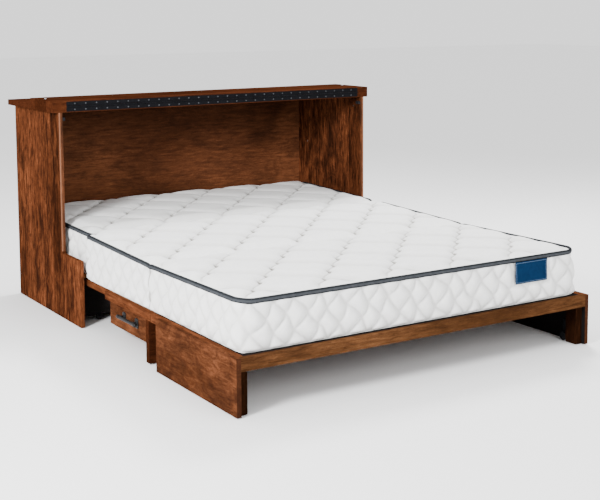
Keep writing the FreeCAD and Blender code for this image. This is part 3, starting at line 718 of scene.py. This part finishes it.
def mattressPanel(name, panel):
    half = panel["half"]
    x, reach, z, normal, topPlace = panelSurface(panel, half)
    across, along = x.shape[0] - 1, x.shape[1] - 1
    build = Builder()
    points = np.stack([x, reachY(reach), z], -1)
    faces = []
    width = along + 1
    for i in range(across):
        for j in range(along):
            a = i * width + j
            faces.append((a, a + 1, a + width + 1, a + width))
    loop = outlineIndices(across, along)
    rim = np.array([points[i, j] for i, j in loop])
    out = np.array([(normal[i, j, 0], -normal[i, j, 1], 0) for i, j in loop])
    free = np.ones(len(loop))  # 0 where the panel lies against the next one
    for k, (i, j) in enumerate(loop):
        if (j == 0 and panel["corners"][0] < 0.04) or (j == along and panel["corners"][1] < 0.04):
            free[k] = 0
    # a crease where two panels meet, and a squarer corner towards the bottom of the foot end
    seamAt = panel["rear"] if panel["corners"][0] == 0 else panel["front"]
    fromSeam = np.abs(rim[:, 1] - reachY(seamAt))
    seamPull = np.zeros(len(loop))
    if not panel["closed"]:
        seamPull = sideFace["seamPull"] * np.exp(-(fromSeam / sideFace["seamWide"]) ** 1.4) * free
    outward = np.maximum(np.abs(out[:, 0]), np.abs(out[:, 1]))
    squared = panel["squareness"] * max(panel["corners"]) * (1 / np.maximum(outward, 0.7) - 1)
    run = np.concatenate([[0], np.cumsum(np.linalg.norm(np.diff(rim[:, :2], axis=0), axis=1))])
    levels = sideFace["levels"]
    rings, ringPlace = [], []
    for level in range(1, levels + 1):
        t = level / levels
        height = rim[:, 2] * (1 - t) + panel["bottom"] * t
        bulge = (sideFace["belly"] * math.sin(math.pi * t) ** 0.8 + sideFace["spread"] * t
                 - sideFace["tuckedIn"] * max(0, (t - 0.94) / 0.06) ** 2)
        mask = smooth(t / 0.10) * smooth((1 - t) / 0.08)
        swell, one, two, sideSpan = sideQuilt(run, height - panel["bottom"])
        flat = 1 - underTag(rim, out, height)
        puff = mask * (swell * flat - 0.004) * (0.15 + 0.85 * free)
        # painted shade: near the seam the side place is made whole, so the stitch shade draws a dark line there
        if not panel["closed"]:
            one = np.where(fromSeam < 0.002, np.round(one), one)
        ringPlace.append(np.stack([one, two, 0.50 * mask * np.ones(len(run))], -1))
        crease = sideFace["ripple"] * mask * wave(run * 1.7, height * 0.8, 4.0)
        shift = (bulge - 0.002) * (0.2 + 0.8 * free) + puff + crease * free - seamPull * smooth(t / 0.12)
        shift = shift + squared * smooth(t * 1.25)
        ring = rim + out * shift[:, None]
        ring[:, 2] = height
        rings.append(ring)
    base = len(points.reshape(-1, 3))
    allPoints = [points.reshape(-1, 3)] + rings
    count = len(loop)
    rimIndex = [i * width + j for i, j in loop]
    previous = rimIndex
    for level in range(levels):
        current = [base + level * count + k for k in range(count)]
        for k in range(count):
            n = (k + 1) % count
            faces.append((previous[k], previous[n], current[n], current[k]))
        previous = current
    faces.append(tuple(reversed(previous)))
    build.add(np.concatenate(allPoints), faces, 0)
    addTape(build, rim, out, panel, loop, along)
    addTufts(build, panel, half)
    piece = build.finish(name, ["quiltCloth", "tapeEdge", "tapeMiddle", "tuftThread"])
    lattice = np.zeros((len(build.points), 3))
    known = np.concatenate([topPlace.reshape(-1, 3)] + ringPlace)
    lattice[:len(known)] = known
    span = np.full(len(build.points), sideSpan)
    span[:base] = quilt["lattice"] / math.hypot(1, quilt["slant"])
    piece.data.attributes.new("quiltPlace", "FLOAT_VECTOR", "POINT").data.foreach_set("vector", lattice.reshape(-1))
    piece.data.attributes.new("quiltSpan", "FLOAT", "POINT").data.foreach_set("value", span)
    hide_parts(panel["node"])
    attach(piece, panel["body"])
    if panel["squash"]:
        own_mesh(piece)
    return piece


tape = {"out": 0.0068, "up": 0.0100, "sides": 14, "lift": 0.0008, "endDip": 0.0035, "dipLength": 0.012,
        "paleHalfAngle": 30}


def addTape(build, rim, out, panel, loop, along):
    keep = list(range(len(loop)))
    if not panel["closed"]:
        openAtRear = panel["corners"][0] == 0
        seam = 0 if openAtRear else along
        keep = [k for k, (i, j) in enumerate(loop) if j != seam or i in (0, loop[-1][0], max(p[0] for p in loop))]
        gap = max(range(len(keep)), key=lambda n: (keep[(n + 1) % len(keep)] - keep[n]) % len(loop))
        keep = keep[gap + 1:] + keep[:gap + 1]
    ringSet = []
    for order, k in enumerate(keep):
        fromEnd = min(order, len(keep) - 1 - order) * quilt["cell"]
        dip = 0 if panel["closed"] else tape["endDip"] * math.exp(-(fromEnd / tape["dipLength"]) ** 2)
        center = rim[k] + out[k] * (tape["lift"] - dip * 0.6) + np.array([0, 0, -dip])
        ring = []
        for step in range(tape["sides"]):
            angle = 2 * math.pi * step / tape["sides"]
            ring.append(center + out[k] * tape["out"] * math.cos(angle)
                        + np.array([0, 0, tape["up"] * math.sin(angle)]))
        ringSet.append(ring)
    count = tape["sides"]
    total = len(ringSet)
    start = len(build.points)
    build.points += [tuple(p) for ring in ringSet for p in ring]
    spans = total if panel["closed"] else total - 1
    for level in range(spans):
        a, b = start + level * count, start + ((level + 1) % total) * count
        for i in range(count):
            n = (i + 1) % count
            middle = (i + 0.5) * 360 / count
            middle = middle - 360 if middle > 180 else middle
            build.faces.append((a + i, a + n, b + n, b + i))
            build.marks.append(2 if abs(middle) < tape["paleHalfAngle"] else 1)
    if not panel["closed"]:
        build.faces.append(tuple(start + i for i in range(count))[::-1])
        build.faces.append(tuple(start + (total - 1) * count + i for i in range(count)))
        build.marks += [1, 1]


def topAt(panel, half, x, reach):
    d = reach - panel["rear"]
    length = panel["front"] - panel["rear"]
    top = panel["rearTop"] + (panel["frontTop"] - panel["rearTop"]) * d / length
    return float(top + quiltHeight(np.array(x), np.array(reach))[0] - quilt["sink"]
                 + quilt["bow"] * (1 - (x / half) ** 2) + quilt["ripple"] * wave(x, reach, 1.0))


tuft = {"long": 0.0062, "wide": 0.0016, "tall": 0.0013}  # half sizes of one stitch


def addTufts(build, panel, half):
    step = quilt["lattice"]
    for lineNumber in range(-6, 14):
        for crossNumber in range(-14, 20):
            u = quilt["firstLine"] + step * lineNumber
            v = quilt["firstCross"] + step / 2 * crossNumber
            x, reach = (u + v) / 2, (u - v) / (2 * quilt["slant"])
            if abs(x) > half - 0.055 or not panel["rear"] + 0.05 < reach < panel["front"] - 0.05:
                continue
            z = topAt(panel, half, x, reach)
            spin = 0.25 * math.sin(lineNumber * 5.1 + crossNumber * 2.3)
            along = Vector((math.sin(spin), math.cos(spin), 0))
            aside = Vector((along.y, -along.x, 0))
            rings = []
            for t, wide in ((-1.0, 0.3), (-0.7, 0.85), (0.0, 1.0), (0.7, 0.85), (1.0, 0.3)):
                center = Vector((x, reachY(reach), z)) + along * (tuft["long"] * t)
                rings.append([center + aside * (tuft["wide"] * wide * math.cos(q))
                              + Vector((0, 0, tuft["tall"] * wide * math.sin(q)))
                              for q in [2 * math.pi * s / 8 for s in range(8)]])
            build.loft(rings, 3)


for name, panel in panels.items():
    mattressPanel(name, panel)
    print("mattress panel made", name)


def tagSpot(x, z):
    # the tag's outer face, which sags a little between its seams
    a, b = (x - tag["left"]) / (tag["right"] - tag["left"]), (z - tag["low"]) / (tag["high"] - tag["low"])
    sag = 0.0012 * math.sin(a * 9 + b * 3) * (1 - b) + 0.0008 * math.sin(b * 7) + 0.0008 * (1 - b)
    return x, reachY(panels["mattressFoot"]["front"]) - tag["stand"] - sag, z


def sewnTag():
    build = Builder()
    columns, rows = 16, 9
    front = []
    for i in range(columns + 1):
        for j in range(rows + 1):
            front.append(tagSpot(tag["left"] + (tag["right"] - tag["left"]) * i / columns,
                                 tag["low"] + (tag["high"] - tag["low"]) * j / rows))
    back = [(x, y + tag["thick"], z) for x, y, z in front]
    width = rows + 1
    faces = []
    offset = len(front)
    for i in range(columns):
        for j in range(rows):
            a = i * width + j
            faces.append((a, a + width, a + width + 1, a + 1))
            faces.append((offset + a, offset + a + 1, offset + a + width + 1, offset + a + width))
    edge = [i * width for i in range(columns + 1)] + [columns * width + j for j in range(1, rows + 1)]
    edge += [i * width + rows for i in range(columns - 1, -1, -1)] + [j for j in range(rows - 1, 0, -1)]
    for k, a in enumerate(edge):
        b = edge[(k + 1) % len(edge)]
        faces.append((a, offset + a, offset + b, b))
    build.add(front + back, faces, 0)
    left, right = tag["left"] + tag["hem"], tag["right"] - tag["hem"]
    low, high = tag["low"] + tag["hem"], tag["high"] - tag["hem"]
    turned = [(left, low), (right, low), (right, high), (left, high)]
    for (x0, z0), (x1, z1) in zip(turned, turned[1:] + turned[:1]):
        stitches = int(math.hypot(x1 - x0, z1 - z0) / tag["pitch"])
        for k in range(stitches):
            a, b = (k + 0.18) / stitches, (k + 0.82) / stitches
            rings = []
            for t, wide in ((a, 0.3), (a + (b - a) * 0.2, 1.0), (b - (b - a) * 0.2, 1.0), (b, 0.3)):
                x, z = x0 + (x1 - x0) * t, z0 + (z1 - z0) * t
                center = Vector(tagSpot(x, z)) - Vector((0, 0.0002, 0))
                rings.append(circleRing(center, (x1 - x0, 0, z1 - z0), tag["thread"] * wide, 8))
            build.loft(rings, 1)
    piece = build.finish("footTag", ["tagCloth", "tagThread"])
    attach(piece, "foot_mattress")


sewnTag()
print("tag made")
